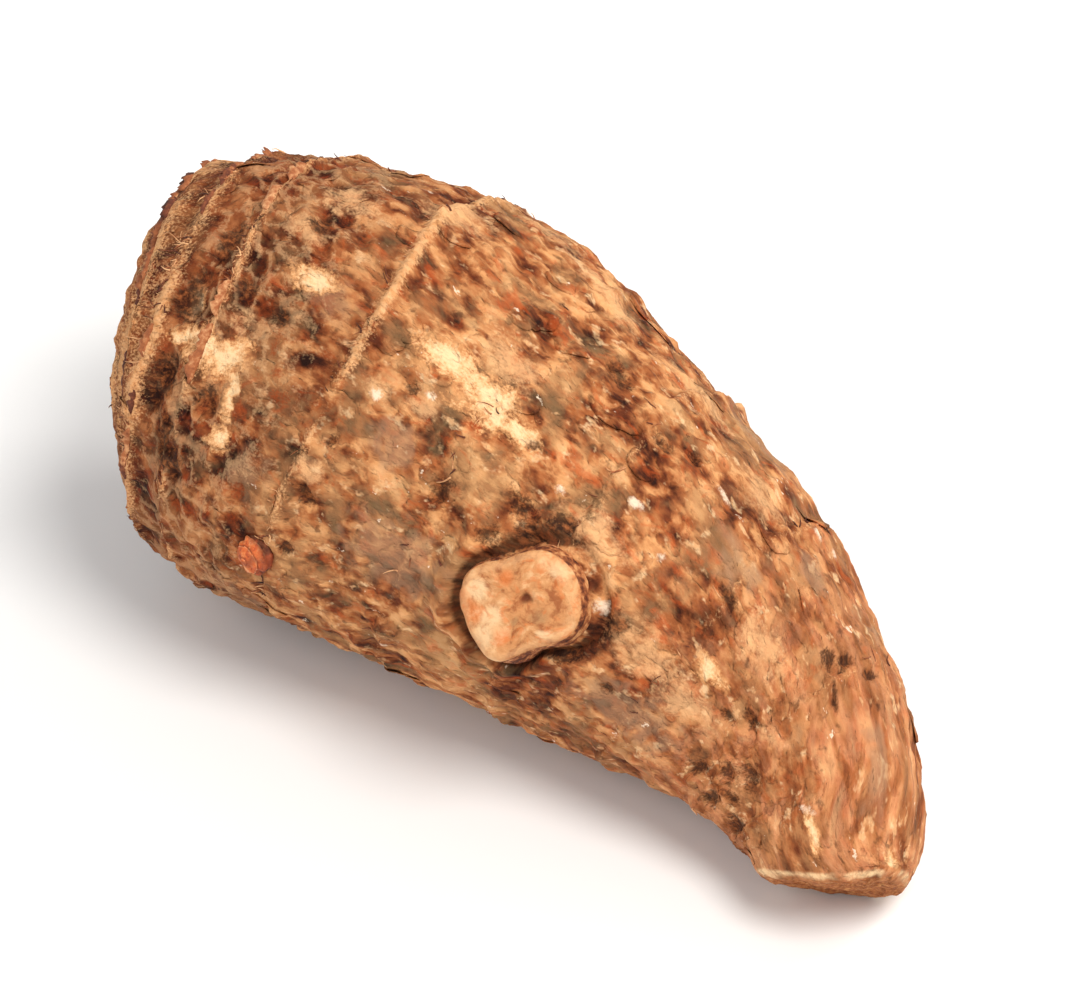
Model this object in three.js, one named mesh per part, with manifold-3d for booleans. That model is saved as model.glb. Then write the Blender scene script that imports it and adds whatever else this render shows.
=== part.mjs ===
// A taro root of the small eddoe kind: one grown corm, a bowed horn that lies on its belly and its tip.
// Millimetres, +Z up. +X runs from the blunt crown to the broken tip, and the bow bulges towards +Y.
// The origin is on the ground, under the middle of the corm's box.

import * as THREE from "three";
import { mergeVertices } from "three/addons/utils/BufferGeometryUtils.js";
import Module from "manifold-3d";

const wasm = await Module();
wasm.setup();

// The crown's middle on the ground, seen from the origin.
const CROWN_X = -48.46;
const CROWN_Y = -6.6;

// Stations along the middle of the corm. at is the distance grown from the crown, x and y are
// measured from the crown, z from the ground, and radius is the corm's own.
const STATIONS = [
  { at: 0, x: 0, y: 0, z: 24.7, radius: 18.9 },
  { at: 3, x: 2.7, y: 1.2, z: 24.9, radius: 21.5 },
  { at: 13.5, x: 12.4, y: 4.2, z: 25.4, radius: 24.8 },
  { at: 31.5, x: 29.9, y: 6.6, z: 25.5, radius: 26.0 },
  { at: 51.5, x: 49.6, y: 8.0, z: 23.1, radius: 22.8 },
  { at: 70.5, x: 68.2, y: 8.7, z: 19.1, radius: 18.5 },
  { at: 87.5, x: 84.1, y: 7.1, z: 13.8, radius: 13.5 },
  { at: 98.5, x: 93.7, y: 3.3, z: 9.7, radius: 10.3 },
  { at: 105.5, x: 98.6, y: -1.0, z: 6.6, radius: 8.2 },
];
const LENGTH = STATIONS.at(-1).at;

// Leaf scars: raised rings that run round the corm, close together near the crown.
const RINGS = [
  { at: 5, height: 0.7 },
  { at: 13.5, height: 0.8 },
  { at: 30.5, height: 1.0 },
  { at: 46, height: 0.4 },
  { at: 60, height: 0.5 },
  { at: 76, height: 0.4 },
  { at: 90, height: 0.2 },
];
const RING_STEEP_SIDE = 0.9;
const RING_GENTLE_SIDE = 2.2;

// The crown's end face, from its rim in to the bud in the middle: share of the rim's radius, and
// how far it stands out beyond the rim.
const CROWN_FACE = [
  { share: 0.93, out: 0.9 },
  { share: 0.84, out: 1.3 },
  { share: 0.79, out: 0.5 },
  { share: 0.64, out: 1.5 },
  { share: 0.56, out: 1.9 },
  { share: 0.5, out: 0.9 },
  { share: 0.36, out: 1.2 },
  { share: 0.3, out: 0.5 },
  { share: 0.2, out: 2.0 },
  { share: 0.1, out: 3.1 },
];
const CROWN_MIDDLE_OUT = 3.5;

// The tip's broken face, from its worn edge in to the core.
const TIP_FACE = [
  { share: 0.94, out: 0.9 },
  { share: 0.82, out: 1.3 },
  { share: 0.5, out: 0.9 },
  { share: 0.22, out: 1.2 },
];
const TIP_MIDDLE_OUT = 1.0;
const TIP_SLANT = 2.9;
const TIP_SLANT_TURN = 0.5;
const TIP_SLANT_RUN = 14;

// The stub of a side shoot, on a shoulder of the corm. Its outline is radius and height above the
// skin, from inside the corm out over the rim and in to the pit in the middle of its cut face.
const STUB = { at: 59.5, angle: 2.68, lean: 0.2, rise: 0.2 };
const STUB_OUTLINE = [
  [0, -10], [9.2, -10], [9.0, -2.0], [7.8, -0.4], [6.9, 1.0], [6.4, 1.9], [5.6, 2.5],
  [4.0, 2.6], [1.4, 2.5], [0.6, 1.9], [0, 1.8],
];
const STUB_SIDES = 24;
const SHOULDER_HEIGHT = 1.9;
const SHOULDER_REACH = 11;

// Sleeping buds on the leaf scars: low cones that lean towards the crown. The outline is in shares of
// a bud's radius and height.
const BUDS = [
  { at: 29, angle: 3.15, radius: 1.8, height: 1.6, lean: -0.3 },
  { at: 30.5, angle: 6.1, radius: 3.4, height: 2.6, lean: -0.5 },
  { at: 13.5, angle: 5.4, radius: 2.4, height: 1.9, lean: -0.5 },
];
const BUD_OUTLINE = [[0, -1.5], [1.05, -1.5], [1.1, 0], [0.9, 0.4], [0.5, 0.82], [0, 1]];
const BUD_SIDES = 14;

// The corm isn't quite round: broad swellings, count of them round it, that drift along it.
const SWELLINGS = [
  { size: 0.5, count: 2, drift: 0, start: 0.4 },
  { size: 0.45, count: 3, drift: 0.08, start: 1.0 },
  { size: 0.25, count: 5, drift: -0.11, start: 0 },
  { size: 0.2, count: 4, drift: 0.19, start: 2.0 },
];
const SWELLING_RADIUS = 24;

// The rings aren't level: waves carry them forward and back as they go round the corm. They die away
// at the crown's rim and towards the tip. The ring nearest the crown leans over as well.
const RING_WAVES = [
  { size: 1.5, count: 1, drift: 0, start: -2.6 },
  { size: 0.9, count: 2, drift: 0, start: 1.1 },
  { size: 0.5, count: 3, drift: 0, start: -0.7 },
];
const RING_WAVES_FULL = 12;
const RING_WAVES_FADE = 84;
const CROWN_LEAN = 2.6;
const CROWN_LEAN_ANGLE = 0.8;

// How finely the skin is divided.
const SIDES_AROUND = 56;
const ROW_STEP = 2.8;
const NARROWEST_ROW = 0.7;

const { smoothstep } = THREE.MathUtils;

// One measure of the stations, carried smoothly from station to station.
function measure(name, at) {
  const last = STATIONS.length - 1;
  let here = 0;
  while (here < last - 1 && at > STATIONS[here + 1].at) here += 1;
  const a = STATIONS[here];
  const b = STATIONS[here + 1];
  const before = STATIONS[Math.max(here - 1, 0)];
  const after = STATIONS[Math.min(here + 2, last)];
  const span = b.at - a.at;
  const t = (at - a.at) / span;
  const slopeA = (b[name] - before[name]) / (b.at - before.at) * span;
  const slopeB = (after[name] - a[name]) / (after.at - a.at) * span;
  const bend = (a[name] - b[name]) * 2 + slopeA + slopeB;
  const lift = (b[name] - a[name]) * 3 - slopeA * 2 - slopeB;
  return ((bend * t + lift) * t + slopeA) * t + a[name];
}

function middle(at) {
  return new THREE.Vector3(CROWN_X + measure("x", at), CROWN_Y + measure("y", at), measure("z", at));
}

// The directions at a station: forward along the growth, across to the bow side, and upward.
function directions(at) {
  const forward = middle(at + 0.5).sub(middle(at - 0.5)).normalize();
  const across = new THREE.Vector3(0, 0, 1).cross(forward).normalize();
  const upward = forward.clone().cross(across);
  return { forward, across, upward };
}

function waves(list, at, angle) {
  return list.reduce(
    (sum, wave) => sum + wave.size * Math.cos(wave.count * angle + wave.drift * at + wave.start), 0);
}

// How far a ring at this place is carried along the corm.
function wander(at, angle) {
  const body = smoothstep(at, 0, RING_WAVES_FULL) * (1 - smoothstep(at, RING_WAVES_FADE, LENGTH));
  const crown = smoothstep(at, 0, 6) * (1 - smoothstep(at, 8, 16));
  const lean = CROWN_LEAN * Math.cos(angle - CROWN_LEAN_ANGLE);
  return body * waves(RING_WAVES, at, angle) + crown * lean;
}

// The tip broke off aslant: its upper edge, and the bow side of it, reach further than the rest.
function slant(at, angle) {
  return TIP_SLANT * Math.sin(angle + TIP_SLANT_TURN) * smoothstep(at, LENGTH - TIP_SLANT_RUN, LENGTH);
}

function swelling(at, angle) {
  return waves(SWELLINGS, at, angle) * measure("radius", at) / SWELLING_RADIUS;
}

function ringHeight(at, angle) {
  let height = 0;
  for (const ring of RINGS) {
    const away = at - ring.at;
    const side = away < 0 ? RING_STEEP_SIDE : RING_GENTLE_SIDE;
    const patchy = 0.75 + 0.25 * Math.cos(2 * angle + ring.at);
    height += ring.height * patchy * Math.exp(-((away / side) ** 2));
  }
  return height;
}

// The shoulder that carries the stub.
function shoulderHeight(row, angle) {
  const alongSkin = row - STUB.at;
  const roundSkin = measure("radius", STUB.at) * (angle - STUB.angle);
  return SHOULDER_HEIGHT * Math.exp(-(alongSkin ** 2 + roundSkin ** 2) / SHOULDER_REACH ** 2);
}

// A point of the skin. row is the distance from the crown before the rings' wander.
function skinPoint(row, angle) {
  const at = row + wander(row, angle) + slant(row, angle);
  const relief = swelling(at, angle) + ringHeight(row, angle) + shoulderHeight(row, angle);
  const reach = measure("radius", at) + relief;
  const { across, upward } = directions(at);
  return middle(at)
    .addScaledVector(across, reach * Math.cos(angle))
    .addScaledVector(upward, reach * Math.sin(angle));
}

// A point of an end face: the edge point drawn in to its share, and moved out along the growth.
function facePoint(at, outward, { share, out }, angle) {
  const edge = skinPoint(at, angle);
  return middle(at).lerp(edge, share).addScaledVector(outward, out);
}

// Even rows, with three more at each ring for its foot, crest and slope.
function rowPlaces() {
  const places = [];
  for (let at = 0; at < LENGTH; at += ROW_STEP) places.push({ at, ring: false });
  for (const ring of RINGS) {
    places.push({ at: ring.at - RING_STEEP_SIDE * 1.3, ring: true });
    places.push({ at: ring.at, ring: true });
    places.push({ at: ring.at + RING_GENTLE_SIDE * 0.8, ring: true });
  }
  const clear = places.filter((place) => place.ring || !places.some(
    (other) => other.ring && Math.abs(other.at - place.at) < NARROWEST_ROW));
  return [...clear.map((place) => place.at).sort((a, b) => a - b), LENGTH];
}

function circle(pointAt) {
  return Array.from({ length: SIDES_AROUND }, (_, side) => pointAt(side / SIDES_AROUND * 2 * Math.PI));
}

// All rows from the crown's middle to the tip's, as circles of points.
function skinRows() {
  const tipOut = directions(LENGTH).forward;
  const crownOut = directions(0).forward.negate();
  const crown = CROWN_FACE.toReversed().map(
    (step) => circle((angle) => facePoint(0, crownOut, step, angle)));
  const body = rowPlaces().map((row) => circle((angle) => skinPoint(row, angle)));
  const tip = TIP_FACE.map((step) => circle((angle) => facePoint(LENGTH, tipOut, step, angle)));
  return {
    rows: [...crown, ...body, ...tip],
    crownMiddle: middle(0).addScaledVector(crownOut, CROWN_MIDDLE_OUT),
    tipMiddle: middle(LENGTH).addScaledVector(tipOut, TIP_MIDDLE_OUT),
  };
}

// The closed skin: a fan at each end, and two triangles for each cell between the rows.
function skinGeometry() {
  const { rows, crownMiddle, tipMiddle } = skinRows();
  const points = [...rows.flat(), crownMiddle, tipMiddle];
  const crownIndex = points.length - 2;
  const tipIndex = points.length - 1;
  const lastRow = (rows.length - 1) * SIDES_AROUND;
  const faces = [];
  for (let side = 0; side < SIDES_AROUND; side += 1) {
    const next = (side + 1) % SIDES_AROUND;
    faces.push(crownIndex, next, side);
    faces.push(tipIndex, lastRow + side, lastRow + next);
    for (let row = 0; row < lastRow; row += SIDES_AROUND) {
      const beyond = row + SIDES_AROUND;
      faces.push(row + side, row + next, beyond + next);
      faces.push(row + side, beyond + next, beyond + side);
    }
  }
  const geometry = new THREE.BufferGeometry().setFromPoints(points);
  geometry.setIndex(faces);
  return geometry;
}

function toSolid(geometry) {
  geometry.deleteAttribute("normal");
  geometry.deleteAttribute("uv");
  const merged = mergeVertices(geometry, 1e-4);
  return new wasm.Manifold(new wasm.Mesh({
    numProp: 3,
    vertProperties: new Float32Array(merged.attributes.position.array),
    triVerts: new Uint32Array(merged.index.array),
  }));
}

function toGeometry(solid) {
  const mesh = solid.getMesh();
  const geometry = new THREE.BufferGeometry();
  geometry.setAttribute("position", new THREE.BufferAttribute(mesh.vertProperties, 3));
  geometry.setIndex(new THREE.BufferAttribute(mesh.triVerts, 1));
  geometry.computeVertexNormals();
  return geometry;
}

// Turns a shape made upright along +Y so that it grows out of the skin, leaning towards the tip.
function growFromSkin(geometry, { at, angle, lean = 0, rise = 0 }) {
  const { forward, across, upward } = directions(at);
  const outward = across.multiplyScalar(Math.cos(angle)).addScaledVector(upward, Math.sin(angle));
  const growth = outward.addScaledVector(forward, lean);
  growth.z += rise;
  growth.normalize();
  const foot = skinPoint(at, angle);
  geometry.applyQuaternion(new THREE.Quaternion().setFromUnitVectors(new THREE.Vector3(0, 1, 0), growth));
  return geometry.translate(foot.x, foot.y, foot.z);
}

function stub() {
  const outline = STUB_OUTLINE.map(([radius, height]) => new THREE.Vector2(radius, height));
  return toSolid(growFromSkin(new THREE.LatheGeometry(outline, STUB_SIDES), STUB));
}

function bud(place) {
  const outline = BUD_OUTLINE.map(
    ([radius, height]) => new THREE.Vector2(radius * place.radius, height * place.height));
  return toSolid(growFromSkin(new THREE.LatheGeometry(outline, BUD_SIDES), place));
}

// Everything below the ground, which flattens the spots that the corm lies on.
function ground() {
  const size = 2 * LENGTH;
  return toSolid(new THREE.BoxGeometry(size, size, size).translate(0, 0, -size / 2));
}

function taroCorm() {
  let corm = toSolid(skinGeometry()).add(stub());
  for (const place of BUDS) corm = corm.add(bud(place));
  const skin = new THREE.MeshStandardMaterial({ color: "#b2794f", roughness: 0.85, metalness: 0 });
  const mesh = new THREE.Mesh(toGeometry(corm.subtract(ground())), skin);
  mesh.name = "taro_corm";
  return mesh;
}

const taroRoot = new THREE.Group();
taroRoot.add(taroCorm());

export default taroRoot;
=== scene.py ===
"""The looks of a taro root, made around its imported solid.

The solid is one bowed, tapering corm with leaf-scar rings, a cut side stub and sleeping buds. This
script gives it the fine skin: the same stations, rings, stub and buds as the solid, with the bark-like
relief, the torn leaf bases, the rootlets and the colours on top. Lengths are millimetres until a mesh
is made, and the frame is the solid's: +X from crown to tip, +Y to the outside of the bow, +Z up.
"""

import itertools
import math

import bpy
import numpy as np
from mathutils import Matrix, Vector


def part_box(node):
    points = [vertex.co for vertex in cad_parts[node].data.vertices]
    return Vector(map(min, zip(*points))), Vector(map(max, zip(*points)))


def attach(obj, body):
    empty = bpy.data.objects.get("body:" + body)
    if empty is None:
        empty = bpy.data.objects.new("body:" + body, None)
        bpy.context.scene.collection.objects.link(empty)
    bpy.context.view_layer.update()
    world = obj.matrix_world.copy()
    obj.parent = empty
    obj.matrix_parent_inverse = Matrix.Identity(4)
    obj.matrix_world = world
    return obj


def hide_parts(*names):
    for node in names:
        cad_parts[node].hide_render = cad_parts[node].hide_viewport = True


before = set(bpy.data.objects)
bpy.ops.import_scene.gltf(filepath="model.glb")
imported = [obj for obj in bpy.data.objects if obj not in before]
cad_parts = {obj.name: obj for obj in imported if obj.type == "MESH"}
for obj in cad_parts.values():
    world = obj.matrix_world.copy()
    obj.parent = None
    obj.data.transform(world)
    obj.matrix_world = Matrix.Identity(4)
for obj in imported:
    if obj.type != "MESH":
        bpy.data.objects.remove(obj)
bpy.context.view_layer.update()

MM = 0.001
BODY = "root"
CORM = "taro_corm"

# ---- The corm's measures: the solid's, and finer ones for the stub, the buds and the scars ----

CROWN_X = -48.46
CROWN_Y = -6.6

STATION_MEASURES = ("at", "x", "y", "z", "radius")
STATION_ROWS = (
    (0, 0, 0, 24.7, 18.9),
    (3, 2.7, 1.2, 24.9, 21.5),
    (13.5, 12.4, 4.2, 25.4, 24.8),
    (31.5, 29.9, 6.6, 25.5, 26.0),
    (51.5, 49.6, 8.0, 23.1, 22.8),
    (70.5, 68.2, 8.7, 19.1, 18.5),
    (87.5, 84.1, 7.1, 13.8, 13.5),
    (98.5, 93.7, 3.3, 9.7, 10.3),
    (105.5, 98.6, -1.0, 6.6, 8.2),
)
STATIONS = dict(zip(STATION_MEASURES, np.array(STATION_ROWS, float).T))
LENGTH = STATION_ROWS[-1][0]

# Leaf scars: distance from the crown, height, the angle where the scar is clearest, how far round
# from there it stays clear, how many fibres are left on it, and the half width of its light line.
# The first is the rim's, and it isn't in the solid.
RINGS = (
    (1.2, 1.8, 2.6, 0.9, 40, 1.6),
    (5, 0.7, 2.6, 1.1, 260, 1.3),
    (13.5, 0.8, 2.0, 0.7, 200, 0.75),
    (30.5, 1.0, 1.7, 0.65, 130, 0.8),
    (46, 0.4, 4.6, 0.9, 30, 0.4),
    (60, 0.5, 0.3, 0.8, 40, 0.4),
    (76, 0.4, 5.2, 0.8, 30, 0.4),
    (90, 0.2, 1.5, 0.5, 10, 0.3),
)
RING_PLACES = [ring[0] for ring in RINGS]

# The end faces, from the rim in: share of the rim's radius, and how far it stands out.
CROWN_FACE = (
    (1.0, 0.0), (0.93, 0.9), (0.84, 1.3), (0.79, 0.5), (0.64, 1.5), (0.56, 1.9), (0.5, 0.9),
    (0.36, 1.2), (0.3, 0.5), (0.2, 2.0), (0.1, 3.1), (0.0, 3.5),
)
TIP_FACE = ((1.0, 0.0), (0.94, 0.9), (0.82, 1.3), (0.5, 0.9), (0.22, 1.2), (0.0, 1.0))
TIP_SLANT = 2.9
TIP_SLANT_TURN = 0.5
TIP_SLANT_RUN = 14

STUB_AT, STUB_ANGLE, STUB_LEAN, STUB_RISE = 59.5, 2.68, 0.2, 0.2
# The stub's profile, from inside the corm out to the middle of its cut face: radius and height.
STUB_PROFILE = (
    (7.4, -6.0), (6.9, -2.0), (6.6, -0.3), (6.5, 0.9), (6.35, 1.5), (6.1, 1.95), (5.6, 2.3),
    (4.9, 2.5), (3.6, 2.6), (2.0, 2.6), (0.9, 2.55), (0.05, 2.5),
)
# The stub's outline is rounded but uneven: count, size and start of each wave round it.
STUB_LOBES = ((1, 0.04, -0.34), (2, 0.10, -1.83), (3, 0.04, 3.1), (4, 0.035, -0.47))
# A flat cut into that outline: the way it faces, its half width and its share of the radius.
STUB_BITE = (-0.72, 0.5, 0.17)
STUB_SHIFT = (0.0, 0.1)
STUB_PIT = (0.3, 1.1)
# Pale blotches on its cut face: place, then radius.
STUB_BLOTCHES = (
    (-4.4, -0.7, 1.2), (-1.6, -2.1, 1.0), (-1.4, -4.8, 1.3), (4.7, -0.9, 0.8), (1.8, 5.2, 0.9),
)
# Orange and grey-brown blotches, measured the same way.
STUB_TINTS = ((-3.6, -3.2, 1.3), (-3.0, 2.4, 1.1), (0.4, -3.6, 0.9), (-5.4, -2.0, 0.9))
STUB_SMEARS = ((2.7, 0.4, 1.2), (0.9, -1.6, 0.7))
SHOULDER_HEIGHT = 1.9
SHOULDER_REACH = 11

# Sleeping buds: distance from the crown, angle round the corm, radius, height and lean.
BUDS = (
    (29, 3.15, 2.0, 1.5, -0.3),
    (30.5, 6.1, 3.4, 2.6, -0.5),
    (13.5, 5.4, 2.4, 1.9, -0.5),
)

# Waves round the corm: size, count, drift along it and start.
SWELLINGS = ((0.5, 2, 0, 0.4), (0.45, 3, 0.08, 1.0), (0.25, 5, -0.11, 0), (0.2, 4, 0.19, 2.0))
SWELLING_RADIUS = 24
RING_WAVES = ((1.5, 1, 0, -2.6), (0.9, 2, 0, 1.1), (0.5, 3, 0, -0.7))
RING_WAVES_FULL = 12
RING_WAVES_FADE = 84
CROWN_LEAN = 2.6
CROWN_LEAN_ANGLE = 0.8


def smoothstep(value, low, high):
    share = np.clip((value - low) / (high - low), 0, 1)
    return share * share * (3 - 2 * share)


def hump(distance, width):
    return np.exp(-((distance / width) ** 2))


def measure(name, at):
    """One measure of the stations, carried smoothly from station to station."""
    knots, values = STATIONS["at"], STATIONS[name]
    last = len(knots) - 1
    here = np.clip(np.searchsorted(knots, at) - 1, 0, last - 1)
    before = np.maximum(here - 1, 0)
    after = np.minimum(here + 2, last)
    span = knots[here + 1] - knots[here]
    t = (at - knots[here]) / span
    slope_a = (values[here + 1] - values[before]) / (knots[here + 1] - knots[before]) * span
    slope_b = (values[after] - values[here]) / (knots[after] - knots[here]) * span
    bend = (values[here] - values[here + 1]) * 2 + slope_a + slope_b
    lift = (values[here + 1] - values[here]) * 3 - slope_a * 2 - slope_b
    return ((bend * t + lift) * t + slope_a) * t + values[here]


def middle(at):
    x, y, z = measure("x", at), measure("y", at), measure("z", at)
    return np.stack([CROWN_X + x, CROWN_Y + y, z], axis=-1)


def unit(vectors):
    return vectors / np.linalg.norm(vectors, axis=-1, keepdims=True)


def directions(at):
    """Forward along the growth, across to the bow side, and upward."""
    forward = unit(middle(at + 0.5) - middle(at - 0.5))
    across = unit(np.cross((0.0, 0.0, 1.0), forward))
    return forward, across, np.cross(forward, across)


def waves(table, at, angle):
    return sum(size * np.cos(count * angle + drift * at + start) for size, count, drift, start in table)


def wander(at, angle):
    """How far a ring at this place is carried along the corm."""
    body = smoothstep(at, 0, RING_WAVES_FULL) * (1 - smoothstep(at, RING_WAVES_FADE, LENGTH))
    crown = smoothstep(at, 0, 6) * (1 - smoothstep(at, 8, 16))
    lean = CROWN_LEAN * np.cos(angle - CROWN_LEAN_ANGLE)
    return body * waves(RING_WAVES, at, angle) + crown * lean


def slant(at, angle):
    return TIP_SLANT * np.sin(angle + TIP_SLANT_TURN) * smoothstep(at, LENGTH - TIP_SLANT_RUN, LENGTH)


def station(row, angle):
    """The true distance from the crown of a place on the skin."""
    return row + wander(row, angle) + slant(row, angle)


def full_turn(angle):
    """The same angle, between minus and plus half a turn."""
    return (angle + math.pi) % (2 * math.pi) - math.pi


def stub_outline(turn):
    """How far the stub reaches in this direction, as a share of its radius."""
    lobes = 1 + sum(size * np.cos(count * turn + start) for count, size, start in STUB_LOBES)
    facing, width, depth = STUB_BITE
    return lobes * (1 - depth * hump(full_turn(turn - facing), width))


def shoulder_height(row, angle):
    round_skin = measure("radius", np.float64(STUB_AT)) * (angle - STUB_ANGLE)
    return SHOULDER_HEIGHT * np.exp(-((row - STUB_AT) ** 2 + round_skin ** 2) / SHOULDER_REACH ** 2)


# ---- Noise, in the straightened corm: x along it, y and z across it ----

LATTICE = 256


def noise_tables(seed):
    random = np.random.default_rng(seed)
    return unit(random.normal(size=(LATTICE, 3))), random.permutation(LATTICE)


SLOPES, SHUFFLE = noise_tables(7)


def shuffled(cell):
    """A random but fixed number for each cell of the lattice."""
    x, y, z = cell.T % LATTICE
    return SHUFFLE[(SHUFFLE[(SHUFFLE[x] + y) % LATTICE] + z) % LATTICE]


def noise(places, size, seed):
    """Smooth random values, about -1 to 1, whose features are one size wide."""
    scaled = places / np.asarray(size, float) + seed * 17.31
    cell = np.floor(scaled).astype(int)
    inside = scaled - cell
    fade = inside ** 3 * (inside * (inside * 6 - 15) + 10)
    total = np.zeros(len(places))
    for corner in itertools.product((0, 1), repeat=3):
        weight = np.where(corner, fade, 1 - fade).prod(axis=1)
        total += weight * ((inside - corner) * SLOPES[shuffled(cell + corner)]).sum(axis=1)
    return total * 1.6


def layers(places, table):
    """Noise summed over the table: height, size and seed of each layer."""
    return sum(height * noise(places, size, seed) for height, size, seed in table)


def noise_on(grid, size, seed):
    return noise(grid.reshape(-1, 3), size, seed).reshape(grid.shape[:-1])


def crests(places, size, seed):
    """Narrow ridges with broad valleys between, 0 to 1."""
    return np.clip(1 - 2.2 * np.abs(noise(places, size, seed)), 0, 1) ** 2


def cells(places, size, seed):
    """Irregular cells one size wide: nearness to a border (0 on it), and a random tone for each cell."""
    scaled = places / np.asarray(size, float) + seed * 5.77
    cell = np.floor(scaled).astype(int)
    nearest = np.full(len(places), np.inf)
    second = np.full(len(places), np.inf)
    tone = np.zeros(len(places))
    for neighbour in itertools.product((-1, 0, 1), repeat=3):
        index = shuffled(cell + neighbour)
        centre = cell + neighbour + 0.5 + 0.45 * SLOPES[index]
        away = np.linalg.norm(scaled - centre, axis=1)
        closer = away < nearest
        second = np.minimum(np.where(closer, nearest, away), second)
        tone = np.where(closer, index / LATTICE, tone)
        nearest = np.minimum(nearest, away)
    return second - nearest, tone


def straighten(row, angle, share=1.0):
    """Where a place would be if the corm were straight. The end faces fold in from the rims."""
    reach = measure("radius", row)
    folded = (1 - share) * reach
    along = np.where(row < LENGTH / 2, row - folded, row + folded)
    return np.stack([along, share * reach * np.cos(angle), share * reach * np.sin(angle)], axis=-1)


# ---- The relief of the skin ----

# Scraped, cream patches: distance from the crown, angle, half length and half width.
SCUFFS = (
    (10, 2.38, 3.0, 1.2), (14, 2.4, 3.6, 1.8), (17.5, 2.42, 2.8, 2.1), (9, 2.22, 0.9, 2.4),
    (19.8, 2.54, 0.7, 2.8), (20.5, 2.72, 1.2, 1.2), (23.5, 1.94, 2.4, 1.2), (39.5, 1.95, 2.6, 2.2),
    (45, 2.0, 3.4, 2.5), (49.5, 2.03, 2.0, 1.0), (79, 2.3, 2.4, 1.1), (104.4, 0.95, 1.0, 1.0),
    (102, 1.95, 2.2, 0.6),
    (44, 5.6, 4.4, 2.6), (20, 5.0, 3.2, 2.4), (52, 4.4, 5.0, 2.8), (80, 4.8, 4.2, 2.0),
)
# Paler tan patches, measured the same way.
PALES = (
    (17, 2.22, 1.2, 1.1), (20, 1.73, 2.0, 1.5), (22, 1.47, 3.0, 2.4), (31, 1.26, 3.0, 3.0),
    (40, 2.2, 1.5, 1.4), (35, 2.25, 1.8, 1.4), (32, 2.67, 1.8, 1.5), (62, 2.2, 4.2, 2.2),
    (45, 1.78, 3.4, 2.6), (73, 2.5, 5.0, 2.2), (79, 2.6, 5.0, 2.0), (72, 1.2, 3.4, 2.0),
    (60, 1.0, 6.0, 1.6), (46, 1.0, 6.0, 1.8), (36, 0.9, 4.0, 1.8), (82, 1.9, 4.0, 2.0),
    (58, 0.5, 5.0, 2.6),
    (24, 0.2, 4.0, 2.8), (70, 5.9, 4.6, 2.6), (36, 3.9, 4.8, 2.8), (12, 4.2, 3.0, 3.0),
)
# Dark, deeper patches, measured the same way.
STAINS = (
    (8.2, 2.2, 1.8, 3.6), (8.5, 2.62, 2.4, 5.0), (11, 2.85, 2.4, 4.0), (17, 2.6, 2.6, 2.2),
    (22, 2.15, 1.4, 1.4),
    (10, 1.9, 1.8, 2.6), (16.5, 2.1, 1.4, 1.4), (14, 2.95, 2.4, 2.4), (38, 2.15, 1.1, 0.9),
    (33, 2.78, 1.4, 1.4), (33, 2.51, 0.9, 0.9), (33, 3.03, 1.4, 1.4), (46, 2.46, 1.8, 2.0),
    (52.5, 2.5, 1.8, 1.6), (56, 2.36, 2.0, 2.0), (54, 2.3, 2.2, 1.6), (58.5, 2.27, 1.6, 1.2),
    (51, 2.04, 0.8, 0.8),
    (54, 1.41, 2.0, 1.4), (68.5, 2.5, 1.8, 1.5), (66.5, 2.82, 2.4, 1.5), (72, 2.88, 1.0, 0.9),
    (65, 1.47, 1.1, 1.0), (84, 2.41, 2.0, 0.8), (86.5, 2.25, 2.0, 0.9),
    (87, 2.93, 2.2, 1.9), (90, 2.68, 2.4, 1.7), (93, 2.51, 2.4, 1.4), (92, 3.04, 3.2, 1.4),
    (94.5, 2.83, 2.6, 1.4), (98, 3.05, 3.4, 1.5), (88.2, 1.45, 1.3, 1.2), (91.5, 1.52, 3.0, 0.5),
    (89, 1.3, 0.7, 1.7), (90.3, 1.08, 0.7, 1.7), (21, 1.7, 2.2, 1.6),
    (62, 1.55, 2.0, 1.2), (76, 1.9, 2.0, 1.0),
    (33, 0.4, 3.6, 2.0), (58, 4.0, 4.0, 2.2), (15, 5.9, 3.0, 2.6), (66, 5.0, 3.2, 1.8),
    (40, 4.9, 3.0, 2.0), (78, 0.2, 3.2, 1.6), (28, 4.2, 2.6, 2.2),
)
# Smoother patches of a dull grey brown, measured the same way.
DULLS = (
    (45, 2.85, 7.0, 4.6), (76, 2.95, 9.0, 3.4), (80, 1.2, 3.2, 2.2), (87, 0.73, 2.4, 1.8),
    (75, 1.7, 3.6, 2.4), (39, 2.4, 3.6, 2.4), (26, 2.0, 2.6, 2.6), (25, 2.8, 3.2, 2.6),
    (97, 1.2, 4.0, 1.6), (66, 0.7, 6.0, 2.4), (24, 3.6, 6.0, 5.0), (60, 4.6, 9.0, 4.0),
    (34, 5.4, 6.0, 5.0), (84, 5.6, 6.0, 3.0),
)
# Rust-red patches, measured the same way.
RUSTS = (
    (98, 2.09, 1.6, 1.5), (96, 2.36, 2.6, 1.8), (86, 3.05, 3.4, 1.8), (92, 2.85, 3.0, 1.6),
    (27, 3.2, 1.8, 1.5), (56, 2.0, 2.0, 1.6), (70, 2.3, 2.6, 1.6), (41, 1.5, 2.4, 1.4),
    (20, 0.4, 3.0, 2.0), (50, 5.2, 3.0, 2.0), (74, 4.0, 3.0, 2.0), (30, 4.6, 2.6, 2.0),
)
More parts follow.
